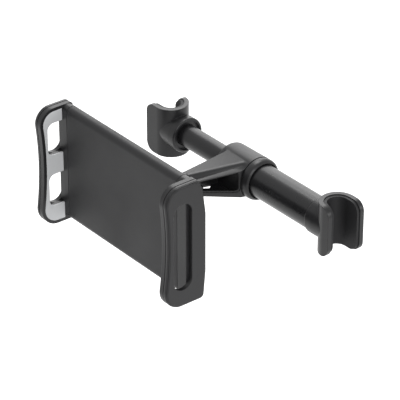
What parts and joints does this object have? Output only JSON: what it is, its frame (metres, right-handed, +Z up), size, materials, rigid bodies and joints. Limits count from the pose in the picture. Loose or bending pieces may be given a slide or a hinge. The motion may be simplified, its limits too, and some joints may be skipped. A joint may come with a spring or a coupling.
{
  "type": "headrest tablet holder",
  "caption": "Car headrest tablet holder: telescoping rod with two open post clips, hollow arm, ball joint and a sprung cradle whose jaws slide apart together.",
  "frame": {"origin": "axis of the right post clip, at the height of the rod's axis", "axes": "+X along the rod from the left clip to the right one, +Y from the tablet towards the headrest, +Z up along the posts"},
  "size_m": [0.1852, 0.1242, 0.0826],
  "materials": {
    "satin_black": "satin black moulded ABS",
    "plate_black": "fine matt black moulded ABS",
    "tube_gloss": "smooth black painted steel tube",
    "grey_pad": "light grey soft pad",
    "rubber": "matt black rubber",
    "nylon": "natural nylon",
    "ball_steel": "plated steel ball stud",
    "spring_steel": "drawn spring wire",
    "screw_steel": "zinc plated steel"
  },
  "bodies": {
    "rod": {"outer_tube": "tube_gloss", "tube_bush": "nylon", "rod_spring": "spring_steel", "right_clip": "satin_black", "right_clip_liner": "rubber", "right_clip_screw": "screw_steel"},
    "slider": {"inner_tube": "tube_gloss", "slider_piston": "nylon", "left_clip": "satin_black", "left_clip_liner": "rubber", "left_clip_screw": "screw_steel"},
    "arm_body": {"arm": "satin_black", "friction_sleeve": "rubber", "stud_pin": "screw_steel"},
    "ring_body": {"clamp_ring": "satin_black"},
    "stud_body": {"ball_stud": "ball_steel"},
    "cup_body": {"ball_cup": "nylon"},
    "nut_body": {"lock_nut": "satin_black"},
    "cradle": {"cradle_front": "plate_black", "cradle_back": "plate_black", "cradle_screws": "screw_steel", "pinion_pin": "screw_steel", "left_spring": "spring_steel", "right_spring": "spring_steel"},
    "pinion_body": {"pinion": "nylon"},
    "left_jaw_body": {"left_jaw": "satin_black", "left_jaw_shell": "satin_black", "left_jaw_pad": "grey_pad", "left_jaw_screws": "screw_steel"},
    "right_jaw_body": {"right_jaw": "satin_black", "right_jaw_shell": "satin_black", "right_jaw_pad": "grey_pad", "right_jaw_screws": "screw_steel"}
  },
  "joints": [
    {"name": "rod_slide", "type": "slide", "parent": "rod", "child": "slider", "axis": [1, 0, 0], "range_m": [0, 0.04], "stiffness_N_per_m": 150, "springref_m": -0.05, "deforming": ["rod_spring"]},
    {"name": "arm_tilt", "type": "hinge", "parent": "rod", "child": "arm_body", "pos_m": [-0.0944, 0, 0], "axis": [1, 0, 0], "range_deg": [-90, 90]},
    {"name": "clamp_ring_turn", "type": "hinge", "parent": "arm_body", "child": "ring_body", "pos_m": [-0.0735, 0, 0], "axis": [1, 0, 0], "range_deg": [0, 90]},
    {"name": "cradle_spin", "type": "hinge", "parent": "arm_body", "child": "stud_body", "pos_m": [-0.0944, -0.068, 0.0054], "axis": [0, 1, 0], "continuous": true},
    {"name": "cradle_tilt", "type": "hinge", "parent": "stud_body", "child": "cup_body", "pos_m": [-0.0944, -0.068, 0.0054], "axis": [1, 0, 0], "range_deg": [-18, 18]},
    {"name": "cradle_yaw", "type": "hinge", "parent": "cup_body", "child": "cradle", "pos_m": [-0.0944, -0.068, 0.0054], "axis": [0, 0, 1], "range_deg": [-18, 18]},
    {"name": "lock_nut_turn", "type": "hinge", "parent": "cradle", "child": "nut_body", "pos_m": [-0.0944, -0.0662, 0.0054], "axis": [0, 1, 0], "range_deg": [0, 90]},
    {"name": "left_jaw_slide", "type": "slide", "parent": "cradle", "child": "left_jaw_body", "axis": [-1, 0, 0], "range_m": [0, 0.04], "stiffness_N_per_m": 60, "springref_m": -0.06, "deforming": ["left_spring"]},
    {"name": "right_jaw_slide", "type": "slide", "parent": "cradle", "child": "right_jaw_body", "axis": [1, 0, 0], "range_m": [0, 0.04], "stiffness_N_per_m": 60, "springref_m": -0.06, "deforming": ["right_spring"]},
    {"name": "pinion_spin", "type": "hinge", "parent": "cradle", "child": "pinion_body", "pos_m": [-0.0944, -0.0865, 0.0096], "axis": [0, 1, 0], "range_deg": [-306, 0]}
  ],
  "couplings": [
    {"joint": "right_jaw_slide", "follows": "left_jaw_slide", "ratio": 1},
    {"joint": "pinion_spin", "follows": "left_jaw_slide", "rad_per_m": -133.33}
  ]
}
